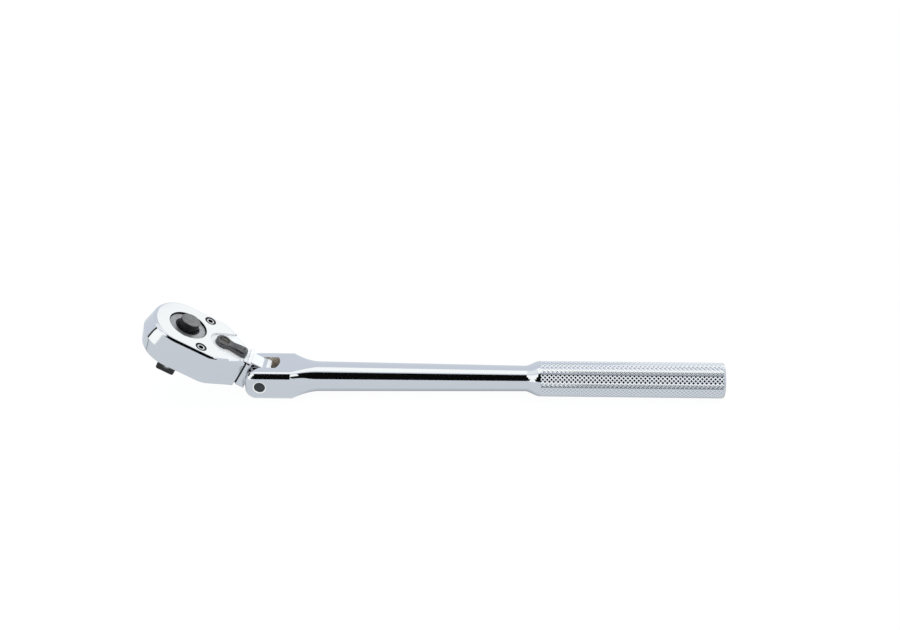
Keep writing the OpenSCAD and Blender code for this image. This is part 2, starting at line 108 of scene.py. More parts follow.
def new_piece(name, points, faces, place, finish=None):
    """A mesh object from points in millimetres, set in its place in the part's frame."""
    mesh = bpy.data.meshes.new(name)
    mesh.from_pydata([place @ (Vector(p) * MM) for p in points], [], faces)
    shell = bmesh.new()
    shell.from_mesh(mesh)
    bmesh.ops.recalc_face_normals(shell, faces=shell.faces)
    shell.to_mesh(mesh)
    shell.free()
    if finish:
        mesh.materials.append(finish)
    piece = bpy.data.objects.new(name, mesh)
    bpy.context.scene.collection.objects.link(piece)
    return piece


def stack(name, rings, place, finish=None, strips=False):
    """A closed skin over rings of equal count, whose end caps are flat or strips across a mirrored ring."""
    count = len(rings[0])
    points = [p for ring in rings for p in ring]
    faces = [[k * count + i, k * count + (i + 1) % count,
              (k + 1) * count + (i + 1) % count, (k + 1) * count + i]
             for k in range(len(rings) - 1) for i in range(count)]
    for first in (0, len(points) - count):
        last = first + count - 1
        if strips:
            faces += [[first + i, first + i + 1, last - i - 1, last - i] for i in range(count // 2 - 1)]
        else:
            faces.append(list(range(first, last + 1)))
    return new_piece(name, points, faces, place, finish)


def turned(name, profile, place, sides=96, finish=None):
    """A turned solid: the profile's (radius, height) points swept about the local Z axis."""
    turns = [(math.cos(2 * math.pi * i / sides), math.sin(2 * math.pi * i / sides)) for i in range(sides)]
    return stack(name, [[(r * c, r * s, z) for c, s in turns] for r, z in profile], place, finish)


def carve(piece, tool, how="DIFFERENCE"):
    """Cuts the tool out of the piece, or joins it on; a finish on the tool stays on the faces it makes."""
    cut = piece.modifiers.new("carve", "BOOLEAN")
    cut.operation = how
    cut.solver = "EXACT"
    cut.material_mode = "TRANSFER"
    cut.use_hole_tolerant = how == "UNION"
    cut.object = tool
    shaped = piece.evaluated_get(bpy.context.evaluated_depsgraph_get())
    rough = piece.data
    piece.data = bpy.data.meshes.new_from_object(shaped)
    piece.modifiers.clear()
    bpy.data.meshes.remove(rough)
    bpy.data.objects.remove(tool)


def ease_edges(piece, chosen, width):
    """Rounds the sharp edges whose middle point the test picks out."""
    shell = bmesh.new()
    shell.from_mesh(piece.data)
    sharp = [e for e in shell.edges if e.is_manifold and e.calc_face_angle() > math.radians(40)
             and chosen((e.verts[0].co + e.verts[1].co) / 2)]
    bmesh.ops.bevel(shell, geom=sharp, offset=width * MM, segments=3, profile=0.5, affect="EDGES")
    shell.to_mesh(piece.data)
    shell.free()


def polish(piece, sharp_deg=32):
    """Slivers cleaned off, smooth shading with crisp edges, and flats kept flat."""
    sliver = 0.0005 * MM
    shell = bmesh.new()
    shell.from_mesh(piece.data)
    bmesh.ops.remove_doubles(shell, verts=shell.verts, dist=sliver)
    bmesh.ops.dissolve_degenerate(shell, edges=shell.edges, dist=sliver)
    shell.to_mesh(piece.data)
    shell.free()
    piece.data.shade_smooth()
    piece.data.set_sharp_from_angle(angle=math.radians(sharp_deg))
    flats = piece.modifiers.new("flats", "WEIGHTED_NORMAL")
    flats.keep_sharp = True


def finish_nodes(name):
    """A new material with its shader, a texture place in metres and a function that adds nodes."""
    material = bpy.data.materials.new(name)
    material.use_nodes = True
    tree = material.node_tree
    shader = tree.nodes["Principled BSDF"]
    spot = tree.nodes.new("ShaderNodeTexCoord").outputs["Object"]

    def add(kind, **inputs):
        node = tree.nodes.new("ShaderNode" + kind)
        for socket, value in inputs.items():
            socket = node.inputs[socket.replace("_", " ")]
            if isinstance(value, bpy.types.NodeSocket):
                tree.links.new(value, socket)
            else:
                socket.default_value = value
        return node

    def link(output, socket):
        tree.links.new(output, shader.inputs[socket])

    return material, shader, spot, add, link


def bright_chrome(name, tint, rough_low, rough_high, ripple, metal=1.0):
    """Polished plate: soft ripples from the buffing wheel and fine hairlines in the gloss."""
    material, shader, spot, add, link = finish_nodes(name)
    shader.inputs["Base Color"].default_value = (*tint, 1)
    shader.inputs["Metallic"].default_value = metal
    along = add("Mapping", Vector=spot, Scale=(40, 900, 900))
    hairs = add("TexNoise", Vector=along.outputs["Vector"], Scale=1.0, Detail=5.0)
    gloss = add("MapRange", Value=hairs.outputs["Fac"], To_Min=rough_low, To_Max=rough_high)
    link(gloss.outputs["Result"], "Roughness")
    waves = add("TexNoise", Vector=spot, Scale=95.0, Detail=1.0)
    bump = add("Bump", Height=waves.outputs["Fac"], Strength=ripple, Distance=0.0004)
    link(bump.outputs["Normal"], "Normal")
    return material


chrome = bright_chrome("bright_chrome", (0.64, 0.65, 0.675), 0.035, 0.11, 0.05)


def edge_curve(arcs):
    """Points down a rounded edge as (way out, way down): each arc is (radius, from, to, steps)."""
    out = down = 0.0
    points = [(out, down)]
    for radius, start, end, steps in arcs:
        turns = [math.radians(t) for t in spread(start, end, steps + 1)]
        for last, turn in zip(turns, turns[1:]):
            out += radius * (math.sin(turn) - math.sin(last))
            down += radius * (math.cos(last) - math.cos(turn))
            points.append((out, down))
    return points


def fork_cross():
    """Half sections of the fork as (y, drop below the crown), from the near side to the far side."""
    curve = edge_curve(fork_edge_arcs)
    flat_w = fork_w / 2 - curve[-1][0]
    edge = [(flat_w + out, down) for out, down in curve]
    flat = [(y, 0.0) for y in spread(-flat_w, flat_w, top_n - 2 * len(edge) + 2)[1:-1]]
    return [(-y, d) for y, d in reversed(edge)] + flat + edge


def fork_ring(x):
    """The fork's whole section at x: top, far side, underside and near side."""
    cross = fork_cross()
    side_top = fork_h / 2 - cross[0][1]
    side_z = spread(side_top, -side_top, side_n + 2)[1:-1]
    return ([(x, y, fork_h / 2 - d) for y, d in cross] + [(x, fork_w / 2, z) for z in side_z]
            + [(x, y, d - fork_h / 2) for y, d in reversed(cross)]
            + [(x, -fork_w / 2, z) for z in reversed(side_z)])


def round_ring(x, radius):
    """A round section at x, whose first point stands where the fork's section starts."""
    turns = [2 * math.pi * (i - (top_n - 1) / 2) / ring_n for i in range(ring_n)]
    return [(x, radius * math.sin(t), radius * math.cos(t)) for t in turns]


def blend_ring(share):
    """From the fork's section to the round shank, in a hollow sweep."""
    turn = 1 - (1 - share) ** 1.8
    x = fork_back + blend_len * share
    return [tuple(a + (b - a) * turn for a, b in zip(p, q))
            for p, q in zip(fork_ring(x), round_ring(x, shank_r1))]


def nose_band():
    """The fork's top, blunt nose and underside, as rows of points across its width."""
    corner_x = fork_tip + fork_nose_r
    corner_z = fork_h / 2 - fork_nose_r
    path = [(x, fork_h / 2, 0.0, 1.0) for x in spread(fork_back, corner_x, 14)]
    for turn in spread(0, math.pi / 2, 15)[1:]:
        out_x = -math.sin(turn)
        out_z = math.cos(turn)
        path.append((corner_x + fork_nose_r * out_x, corner_z + fork_nose_r * out_z, out_x, out_z))
    front = [(fork_tip, z, -1.0, 0.0) for z in spread(corner_z, -corner_z, 5)[1:-1]]
    path += front + [(x, -z, out_x, -out_z) for x, z, out_x, out_z in reversed(path)]
    cross = fork_cross()
    return [[(x - d * out_x, y, z - d * out_z) for y, d in cross] for x, z, out_x, out_z in path]


def shank_rings():
    """Sections of the handle from the fork to the start of the knurl."""
    shank_x = fork_back + blend_len
    flare_x = grip_x - flare_len
    rings = [blend_ring(share) for share in [0.01, 0.025] + spread(0, 1, 27)[1:]]
    for share in spread(0, 1, 12)[1:]:
        x = shank_x + (flare_x - shank_x) * share
        rings.append(round_ring(x, shank_r1 + (shank_r2 - shank_r1) * share))
    mouth_r = grip_r - 0.03
    for share in spread(0, 1, 16)[1:]:
        x = flare_x + flare_len * share
        rings.append(round_ring(x, shank_r2 + (mouth_r - shank_r2) * ease(share)))
    return rings


def roll_knurl(points, faces):
    """Flat topped diamonds between two crossing sets of grooves; gives the rings at both ends."""
    pitch = 2 * math.pi / knurl_starts
    first_turn = -math.pi * (top_n - 1) / ring_n

    def spot(row, turns, radius=grip_r):
        turn = first_turn + turns * pitch
        points.append((knurl_x + row * knurl_step, radius * math.sin(turn), radius * math.cos(turn)))
        return len(points) - 1

    root = grip_r - knurl_depth
    cross = [[spot(row, j + row % 2 / 2, root) for j in range(knurl_starts)]
             for row in range(knurl_rows + 1)]
    start, end = [], []
    for row in range(knurl_rows + 1):
        odd = row % 2
        for j in range(knurl_starts):
            middle = j + (1 - odd) / 2
            left = cross[row][j - odd]
            right = cross[row][(j + 1 - odd) % knurl_starts]
            low = spot(row, middle - (1 - knurl_groove) / 2)
            high = spot(row, middle + (1 - knurl_groove) / 2)
            tips = []
            for way in (-1, 1):
                if 0 <= row + way <= knurl_rows:
                    tip = spot(row + way * (1 - knurl_groove), middle)
                    crossing = cross[row + way][j]
                    faces.append([left, low, tip, crossing])
                    faces.append([right, high, tip, crossing])
                else:
                    tip = spot(row, middle)
                    (start if row == 0 else end).extend([left, low, tip, high])
                tips.append(tip)
            faces.append([low, tips[1], high, tips[0]])
    return start, end


def forge_handle():
    """The whole bar in one skin: fork, shank, flare, knurled grip and dished butt."""
    band = nose_band()
    points = [p for row in band for p in row]
    start = fork_ring(fork_back)
    under = len(points) - top_n
    far_side = len(points)
    near_side = far_side + side_n
    points += start[top_n:top_n + side_n] + start[2 * top_n + side_n:]
    fork_end = (list(range(top_n)) + list(range(far_side, near_side))
                + list(range(under + top_n - 1, under - 1, -1))
                + list(range(near_side, near_side + side_n)))
    faces = []
    for k in range(len(band) - 1):
        for j in range(top_n - 1):
            first = k * top_n + j
            faces.append([first, first + 1, first + top_n + 1, first + top_n])
    near_edge = [k * top_n for k in range(len(band))]
    far_edge = [k * top_n + top_n - 1 for k in range(len(band))]
    faces.append(near_edge + fork_end[2 * top_n + side_n:])
    faces.append(far_edge + fork_end[top_n:top_n + side_n][::-1])
    knurl_start, knurl_end = roll_knurl(points, faces)

    def ring_points(ring):
        points.extend(ring)
        return list(range(len(points) - ring_n, len(points)))

    shank = [fork_end] + [ring_points(ring) for ring in shank_rings()] + [knurl_start]
    butt = [knurl_end]
    for back, inset in butt_edge:
        butt.append(ring_points(round_ring(handle_len - back, grip_r - inset)))
    for rows in (shank, butt):
        for near, far in zip(rows, rows[1:]):
            for i in range(ring_n):
                j = (i + 1) % ring_n
                faces.append([near[i], near[j], far[j], far[i]])
    faces.append(butt[-1])
    return new_piece("handle_forging", points, faces, handle_place, chrome)


def milled_steel(name, colour, rough_low, rough_high):
    """Bare milled steel with a film of oil: cutter lines in the gloss and a warm, cloudy tint."""
    material, shader, spot, add, link = finish_nodes(name)
    shader.inputs["Metallic"].default_value = 0.5
    cloud = add("TexNoise", Vector=spot, Scale=260.0, Detail=3.0)
    tint = add("ValToRGB", Fac=cloud.outputs["Fac"])
    tint.color_ramp.elements[0].position = 0.3
    tint.color_ramp.elements[0].color = (*[c * 0.85 for c in colour], 1)
    tint.color_ramp.elements[1].position = 0.7
    tint.color_ramp.elements[1].color = (*[c * 1.12 for c in colour], 1)
    link(tint.outputs["Color"], "Base Color")
    across = add("Mapping", Vector=spot, Scale=(500, 4000, 500))
    lines = add("TexNoise", Vector=across.outputs["Vector"], Scale=1.0, Detail=2.0)
    gloss = add("MapRange", Value=lines.outputs["Fac"], To_Min=rough_low, To_Max=rough_high)
    link(gloss.outputs["Result"], "Roughness")
    return material


handle = forge_handle()
milled = milled_steel("milled_steel", (0.66, 0.57, 0.47), 0.38, 0.6)
across = handle_place @ Matrix.Rotation(math.radians(90), 4, "X")
slot_ball = [(math.sqrt(slot_end_r ** 2 - y * y), y) for y in spread(-slot_w / 2, slot_w / 2, 17)]
carve(handle, turned("slot_tool", slot_ball, across, 96, milled))
bore_line = handle_place @ Matrix.Rotation(math.radians(90), 4, "Y")
plunger_bore = [(plunger_bore_r, 0), (plunger_bore_r, plunger_bore_end)]
carve(handle, turned("plunger_bore", plunger_bore, bore_line, 48, milled))
ease_edges(handle, lambda spot: abs(abs(spot.y) / MM - slot_w / 2) < 0.02, slot_edge_r)
half_w = fork_w / 2
# A pale, nearly matt chrome that paints a bright sheen: a highlight ring on the pin hole's chamfer here,
# and the deck inside the fan.
painted_sheen_chrome = bright_chrome("painted_sheen_chrome", (0.95, 0.95, 0.95), 0.5, 0.7, 0.02, 0.2)
pin_mouth = [(pin_r + 0.55, half_w + 0.1), (pin_r + 0.45, half_w), (pin_r + 0.03, half_w - 0.25)]
pin_tool = turned("pin_tool", [(r, -y) for r, y in pin_mouth] + pin_mouth[::-1], across, 96, painted_sheen_chrome)
carve(handle, pin_tool)
polish(handle)
# Painted shade and sheen: the knurl's flat tops get a darker chrome and its groove walls a lighter one,
# which sharpens the diamonds.
knurl_painted_tones = [bright_chrome("knurl_top_painted_shade", (0.49, 0.5, 0.525), 0.035, 0.11, 0.05),
                  bright_chrome("knurl_groove_painted_sheen", (0.75, 0.76, 0.785), 0.035, 0.11, 0.05)]
for finish in knurl_painted_tones:
    handle.data.materials.append(finish)
knurl_top_shade, knurl_wall_sheen = [handle.data.materials.find(finish.name) for finish in knurl_painted_tones]
for face in handle.data.polygons:
    if knurl_x < (face.center.x - flex_pin.x) / MM < handle_len - 1:
        out = (face.center.yz - flex_pin.yz).length / MM
        face.use_smooth = False
        face.material_index = knurl_top_shade if out > grip_r - knurl_depth / 4 else knurl_wall_sheen
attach(handle, "handle")
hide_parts("handle")

# Flex pin, with the friction plunger and its spring behind the tongue.
# A hardened dowel, blackened and pressed through both cheeks of the fork. The plunger is turned from
# ground bar, and the spring is wound from music wire.
plunger_coil_r = 1.5
plunger_wire = 0.3
plunger_turns = 7


def satin_black(name, colour, rough_low, rough_high, grain):
    """Blackened steel: a fine satin grain, cloudy gloss and a slightly uneven colour."""
    material, shader, spot, add, link = finish_nodes(name)
    shader.inputs["Metallic"].default_value = 0.85
    cloud = add("TexNoise", Vector=spot, Scale=420.0, Detail=4.0)
    ramp = add("ValToRGB", Fac=cloud.outputs["Fac"])
    ramp.color_ramp.elements[0].position = 0.3
    ramp.color_ramp.elements[0].color = (*[c * 0.8 for c in colour], 1)
    ramp.color_ramp.elements[1].position = 0.7
    ramp.color_ramp.elements[1].color = (*[c * 1.2 for c in colour], 1)
    link(ramp.outputs["Color"], "Base Color")
    gloss = add("MapRange", Value=cloud.outputs["Fac"], To_Min=rough_low, To_Max=rough_high)
    link(gloss.outputs["Result"], "Roughness")
    sand = add("TexNoise", Vector=spot, Scale=5200.0, Detail=2.0)
    bump = add("Bump", Height=sand.outputs["Fac"], Strength=grain, Distance=0.00004)
    link(bump.outputs["Normal"], "Normal")
    return material


def ground_steel(name, colour, rough_low, rough_high):
    """Bare ground steel with fine grinding lines."""
    material, shader, spot, add, link = finish_nodes(name)
    shader.inputs["Base Color"].default_value = (*colour, 1)
    shader.inputs["Metallic"].default_value = 1.0
    along = add("Mapping", Vector=spot, Scale=(300, 300, 6000))
    lines = add("TexNoise", Vector=along.outputs["Vector"], Scale=1.0, Detail=3.0)
    gloss = add("MapRange", Value=lines.outputs["Fac"], To_Min=rough_low, To_Max=rough_high)
    link(gloss.outputs["Result"], "Roughness")
    bump = add("Bump", Height=lines.outputs["Fac"], Strength=0.06, Distance=0.00002)
    link(bump.outputs["Normal"], "Normal")
    return material


def dress(node, material):
    """Puts a finish on a piece that keeps the shape it was built with."""
    skin = frame["nodes"][node].data.materials
    skin.clear()
    skin.append(material)


def wind_spring(node, body, place, radius, wire, length, turns):
    """A coil spring along the place's Z axis."""
    rings = []
    for share in spread(0, 1, 24 * turns + 1):
        turn = 2 * math.pi * turns * share
        height = wire + (length - 2 * wire) * share
        section = [(radius + wire * math.cos(q), height + wire * math.sin(q))
                   for q in spread(0, 2 * math.pi, 11)[:-1]]
        rings.append([(out * math.cos(turn), out * math.sin(turn), z) for out, z in section])
    spring = stack(node + "_coil", rings, place, steel)
    polish(spring)
    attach(spring, body)
    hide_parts(node)
    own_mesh(spring)


pin_black = satin_black("pin_black", (0.05, 0.052, 0.055), 0.34, 0.5, 0.2)
steel = ground_steel("ground_steel", (0.5, 0.5, 0.51), 0.18, 0.34)
dress("pivot_pin", pin_black)
dress("friction_plunger", steel)
coil_start, coil_end = [Vector(corner).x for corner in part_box("friction_spring")]
coil_place = Matrix.Translation((coil_start - flex_pin.x, 0, 0)) @ bore_line
wind_spring("friction_spring", "handle", coil_place, plunger_coil_r, plunger_wire,
            (coil_end - coil_start) / MM, plunger_turns)

# Head: gear housing, neck, flange and tongue.
# A steel forging with drafted walls, bored for the gear and the selector and milled to a tongue that
# fits the fork, then polished and plated like the handle.
drive_axis = Vector(joints["drive_spin"]["axis"])
drive_point = Vector(joints["drive_spin"]["pos_m"])
tilt = math.atan2(drive_axis.x, drive_axis.z)
head_place = Matrix.Translation(drive_point) @ Matrix.Rotation(tilt, 4, "Y")
neck_len = (flex_pin - drive_point).length / MM
head_r = 17.2
head_top = 7.7
head_drop = 9.0
plate_t = 1.0
deck = head_top - plate_t
part_z = -1.4
low_draft = 0.3
low_nose_draft = 1.9
high_draft = 0.1
high_nose_draft = 2.1
nose_bulge = 2.55
top_edge_arcs = ((0.7, 0, 42, 5), (2.8, 42, 71, 9))
shoulder_r = 10.0
taper = math.radians(33)
neck_hw = 7.6
neck_edge_r = 2.4
flange_r = fork_h / 2 + 1.4
flange_t = 1.9
seam_w = 0.6
neck_up = fork_h / 2 - 0.2
neck_down = fork_h / 2 + 0.1
tongue_t = 9.8
body_end = neck_len - flange_r - flange_t - seam_w
floor_z = 2.8 - head_drop
cavity_r = 12.4
hub_r = 9.1
lever_x = (Vector(joints["lever_turn"]["pos_m"]) - drive_point).length / MM
shoulder_x = (body_end - shoulder_r * math.sin(taper)
              - (head_r - shoulder_r * (1 - math.cos(taper)) - neck_hw) / math.tan(taper))
taper_x = shoulder_x + shoulder_r * math.sin(taper)
taper_y = head_r - shoulder_r * (1 - math.cos(taper))
screw_x = 9.6
screw_y = head_r - 4.6
screw_hole_r = 1.5
screw_hole_z = 1.35
pocket_edge = [(6.0, 5.7), (7.5, 7.2), (10.9, 9.8), (12.5, 11.1), (13.6, 11.0), (lever_x + 0.62, 6.05)]
pocket_plan = [(x, -y) for x, y in pocket_edge] + pocket_edge[::-1]
pocket_low = -4.12
pocket_high = deck - 2.8
pocket_r = 6.1
shaft_hole_r = 2.95
pilot_r = 2.0
pilot_low = -6.7
seal_r = 4.0
seal_z = deck - 1.05
# A near-black satin steel: painted shade in the neck's seam, round the plate's opening and in the
# countersinks, and the blackened snap ring.
black_steel_and_painted_shade = satin_black("black_steel_and_painted_shade", (0.02, 0.02, 0.021), 0.45, 0.65, 0.2)


def head_outline():
    """The head from above, near half then far half, as (x, y, outward x, outward y)."""
    half = []
    for a in spread(math.pi * 0.994, math.pi / 2, 44):
        half.append((head_r * math.cos(a) - nose_bulge, head_r * math.sin(a), math.cos(a), math.sin(a)))
    for x in spread(-nose_bulge, shoulder_x, 10)[1:-1]:
        half.append((x, head_r, 0, 1))
    for b in spread(0, taper, 14):
        half.append((shoulder_x + shoulder_r * math.sin(b), head_r - shoulder_r * (1 - math.cos(b)),
                     math.sin(b), math.cos(b)))
    for f in spread(0, 1, 12)[1:-1]:
        half.append((taper_x + (body_end - taper_x) * f, taper_y + (neck_hw - taper_y) * f,
                     math.sin(taper), math.cos(taper)))
    half.append((body_end, neck_hw, 0, 1))
    return half + [(x, -y, nx, -ny) for x, y, nx, ny in reversed(half)]


def edge_round(depth, radius):
    """How far a quarter round stands in at a depth below its crown."""
    return 0.0 if depth >= radius else radius - math.sqrt(max(0.0, radius ** 2 - (radius - depth) ** 2))


def wall_inset(x, nx, z):
    """How far the drafted wall stands in from the parting line, most of all at the nose."""
    nose = max(0.0, -nx) ** 2
    neck = ease((x - taper_x) / (body_end - taper_x))
    if z < part_z:
        draft = (part_z - z) / (part_z + head_drop) * (low_draft + low_nose_draft * nose)
        return draft + edge_round(z + head_drop, 1 + 0.3 * neck)
    return (z - part_z) / (head_top - part_z) * (high_draft + high_nose_draft * nose)


def head_ring(z, inset=0.0, neck_round=True):
    """The head's outline at height z; inset draws it in, but not on the neck when that is rounded."""
    ring = []
    for x, y, nx, ny in head_outline():
        neck = ease((x - taper_x) / (body_end - taper_x)) if neck_round else 0.0
        d = wall_inset(x, nx, z) + inset * (1 - neck) + neck * edge_round(deck - z, neck_edge_r)
        ring.append((x - d * nx, y - d * ny, z))
    return ring


def top_edge(depth):
    """How far the rounded top edge of plate and head stands in at a depth below the top."""
    curve = edge_curve(top_edge_arcs)
    for (out0, down0), (out1, down1) in zip(curve, curve[1:]):
        if down0 <= depth <= down1:
            return curve[-1][0] - out0 - (out1 - out0) * (depth - down0) / (down1 - down0)
    return 0.0


def neck_section(x, inset):
    """Rounded section of the neck's flange at x."""
    corner = 1.8
    wide, up, down = [size - 0.25 - inset - corner for size in (neck_hw, neck_up, neck_down)]
    ring = []
    for cy, cz, start in ((wide, up, 0), (-wide, up, 90), (-wide, -down, 180), (wide, -down, 270)):
        for turn in spread(start, start + 90, 9):
            q = math.radians(turn)
            ring.append((x, cy + corner * math.cos(q), cz + corner * math.sin(q)))
    return ring


def tongue_ring(y, inset):
    """Outline of the tongue and its round eye, seen from the side."""
    meet = math.acos(-math.sqrt(1 - (tongue_hh / eye_r) ** 2))
    ring = []
    for turn in spread(meet, -meet, 60):
        ring.append((neck_len + (eye_r - inset) * math.cos(turn), y, (eye_r - inset) * math.sin(turn)))
    back = body_end + seam_w + 0.3
    for x in spread(neck_len - 4.5, back, 4):
        ring.append((x, y, inset - tongue_hh))
    for x in spread(back, neck_len - 4.5, 4):
        ring.append((x, y, tongue_hh - inset))
    return ring


def forge_head():
    """Housing, seam with painted shade, flange and tongue, joined in one piece."""
    low = [-head_drop + d for d in (0, 0.04, 0.14, 0.3, 0.5, 0.75, 1.0, 1.35, 1.8, 2.4, 4, 6)]
    high = [deck - d for d in (5, 2.4, 1.8, 1.35, 1.0, 0.65, 0.45, 0.35, 0.25, 0.15, 0.04, 0)]
    levels = low + [part_z - 0.1, part_z + 0.1] + high
    walls = [head_ring(z, top_edge(head_top - z)) for z in levels]
    body = stack("head_forging", walls, head_place, chrome)
    flange_x = body_end + seam_w
    # The seam is a near-black core between housing and flange, painted shade in the groove.
    seam = [neck_section(x, 0.4) for x in (body_end - 1, flange_x + 0.8)]
    carve(body, stack("seam", seam, head_place, black_steel_and_painted_shade), "UNION")
    lip_x = neck_len - flange_r * math.cos(math.radians(47))
    lip = [neck_section(flange_x + x, d) for x, d in ((0.3, 0.2), (0.36, 0.07), (0.5, 0))]
    flange = stack("flange", lip + [neck_section(lip_x, 0)], head_place, chrome)
    hollow = [(flange_r, y) for y in (-neck_hw - 2, neck_hw + 2)]
    carve(flange, turned("hollow", hollow, pin_line, 160))
    face_x = flange_x + flange_t
    roof_plan = ((face_x, -12), (face_x + 9, -12), (face_x + 9, 12), (face_x, 12))
    carve(flange, stack("roof", [[(x, y, z) for x, y in roof_plan] for z in (0.0, 12.0)], head_place))
    carve(body, flange, "UNION")
    edge = [(tongue_t / 2 - 0.5 * (1 - math.sin(q)), 0.5 * (1 - math.cos(q)))
            for q in spread(0, math.pi / 2, 6)]
    sides = [(-y, d) for y, d in reversed(edge)] + edge
    carve(body, stack("tongue", [tongue_ring(y, d) for y, d in sides], head_place, chrome), "UNION")
    return body


def head_spot(x, y=0.0, z=0.0):
    """A place on the head, in millimetres from the drive axis."""
    return head_place @ Matrix.Translation(Vector((x, y, z)) * MM)


pin_line = head_spot(neck_len) @ Matrix.Rotation(math.radians(90), 4, "X")
lever_spot = head_spot(lever_x)
head = forge_head()
carve(head, turned("gear_well", [(cavity_r, floor_z), (cavity_r, head_top)], head_place, 128))
hub_hole = [(hub_r + 1.05, -head_drop - 0.6), (hub_r + 0.05, -head_drop + 0.4), (hub_r + 0.05, floor_z + 1)]
carve(head, turned("hub_hole", hub_hole, head_place, 128))
shaft_hole = [(pilot_r, pilot_low), (pilot_r, -4.0), (shaft_hole_r, -4.0), (shaft_hole_r, seal_z),
              (seal_r, seal_z), (seal_r, head_top)]
carve(head, turned("shaft_hole", shaft_hole, lever_spot))
pawl_pocket = [[(x, y, z) for x, y in pocket_plan] for z in (pocket_low, pocket_high)]
carve(head, stack("pawl_pocket", pawl_pocket, head_place))
carve(head, turned("hub_pocket", [(pocket_r, pocket_low), (pocket_r, pocket_high)], lever_spot))
for side in (-1, 1):
    screw_hole = [(screw_hole_r, screw_hole_z), (screw_hole_r, head_top)]
    carve(head, turned("screw_hole", screw_hole, head_spot(screw_x, side * screw_y), 48))
carve(head, turned("pin_hole", [(pin_r + 0.05, -9), (pin_r + 0.05, 9)], pin_line))
# Only the seam's side walls keep the painted shade; its faces that look up go back to chrome.
dark = head.data.materials.find("black_steel_and_painted_shade")
for face in head.data.polygons:
    if face.material_index == dark and face.normal.dot(drive_axis) > 0.8:
        face.material_index = 0
# The deck inside the fan gets the pale chrome, a painted sheen.
head.data.materials.append(painted_sheen_chrome)
pale = head.data.materials.find("painted_sheen_chrome")
for face in head.data.polygons:
    above = (head_place.inverted() @ face.center).z / MM
    if above > deck - 0.02 and face.normal.dot(drive_axis) > 0.99:
        face.material_index = pale
polish(head, 18)
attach(head, "head")
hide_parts("head_body")

# Gear and drive square.
# Cut from one alloy steel blank: fine ratchet teeth, a flat disc that shows in the cover's opening and
# the square that drives the socket. It is blackened after hardening.
square_w = 9.53
square_len = 11.4
gear_r = 12.0
tooth_d = 0.9
teeth = 36
gear_low = floor_z + 0.12
gear_high = deck - 0.12
disc_r = 9.55
disc_z = head_top - 0.8
hub_z = -head_drop - 0.4
tip_z = hub_z - square_len
ball_z = tip_z + 4.8
bore_r = 5.65
ring_groove = 6.25
ring_z = disc_z - 0.85
bore_low = ring_z - 9.55
rod_bore_r = 1.55
ball_hole_r = 2.03
hub_edge = 0.35
disc_edge = 0.22


def gear_ring(z, radius=None):
    """A ring round the gear's axis at height z: round where a radius is given, and toothed where not."""
    ring = []
    for i in range(teeth):
        for share, low in ((-0.09, 0), (0.09, 0), (0.41, 1), (0.59, 1)):
            a = 2 * math.pi * (i + share) / teeth
            r = radius or gear_r - low * tooth_d
            ring.append((r * math.cos(a), r * math.sin(a), z))
    return ring


def square_ring(z, inset):
    """The drive square's section, with its rolled corners."""
    corner = 0.75
    a = square_w / 2 - corner - inset
    ring = []
    for cx, cy, start in ((a, a, 0), (-a, a, 90), (-a, -a, 180), (a, -a, 270)):
        for turn in spread(start, start + 90, 7):
            q = math.radians(turn)
            ring.append((cx + corner * math.cos(q), cy + corner * math.sin(q), z))
    return ring


drive_black = satin_black("drive_black", (0.35, 0.35, 0.36), 0.32, 0.46, 0.25)
square_black = satin_black("square_black", (0.032, 0.032, 0.033), 0.34, 0.5, 0.3)
blank = [gear_ring(hub_z, hub_r - hub_edge), gear_ring(hub_z + hub_edge, hub_r), gear_ring(gear_low, hub_r),
         gear_ring(gear_low), gear_ring(gear_high), gear_ring(gear_high, disc_r),
         gear_ring(disc_z - disc_edge, disc_r), gear_ring(disc_z, disc_r - disc_edge)]
gear = stack("gear_and_square", blank, head_place, drive_black)
square = [square_ring(tip_z + up, inset) for up, inset in ((0, 0.75), (0.12, 0.45), (0.45, 0.15), (1.0, 0))]
carve(gear, stack("square", square + [square_ring(hub_z + 1, 0)], head_place, square_black), "UNION")
gear_bore = [(rod_bore_r, tip_z + 1.2), (rod_bore_r, bore_low), (bore_r, bore_low), (bore_r, ring_z),
             (ring_groove, ring_z), (ring_groove, disc_z - 0.15), (ring_groove + 0.3, disc_z + 0.15)]
carve(gear, turned("gear_bore", gear_bore, head_place))
ball_line = head_spot(0, 0, ball_z) @ Matrix.Rotation(math.radians(90), 4, "X")
ball_hole = [(ball_hole_r, 0), (ball_hole_r, square_w / 2 - 0.15),
             (ball_hole_r + 0.32, square_w / 2 + 0.17)]
carve(gear, turned("ball_hole", ball_hole, ball_line, 48))
polish(gear)
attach(gear, "drive")
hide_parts("drive_gear")

# Release button, with its rod, spring, snap ring and ball.
# The button is turned and blackened. It slides in the gear against a coil spring, under a snap ring,
# and its rod lets the hardened ball sink into the square.
button_r = 4.9
button_top = head_top + 3.6
button_low = 2.3
button_flange_r = 5.6
flange_top = ring_z - 0.12
rod_hole_r = 1.505
spring_low = bore_low + 0.05
spring_len = button_low - bore_low - 0.1
button_coil_r = 3.6
button_wire = 0.35
button_turns = 4
button_top_painted_light = satin_black("button_top_painted_light", (0.175, 0.175, 0.178), 0.22, 0.34, 0.2)
button_side = [(rod_hole_r, button_low), (button_flange_r, button_low), (button_flange_r, flange_top),
               (button_r, flange_top), (button_r, button_top - 0.5)]
button_edge = [(button_r - 0.4 * (1 - math.cos(q)), button_top - 0.5 + 0.46 * math.sin(q))
               for q in spread(0, math.pi / 2, 7)[1:]]
button_face = [(3.3, button_top - 0.02), (1.6, button_top), (0.2, button_top)]
button = turned("release_button_cap", button_side + button_edge + button_face, head_place, 96, button_top_painted_light)
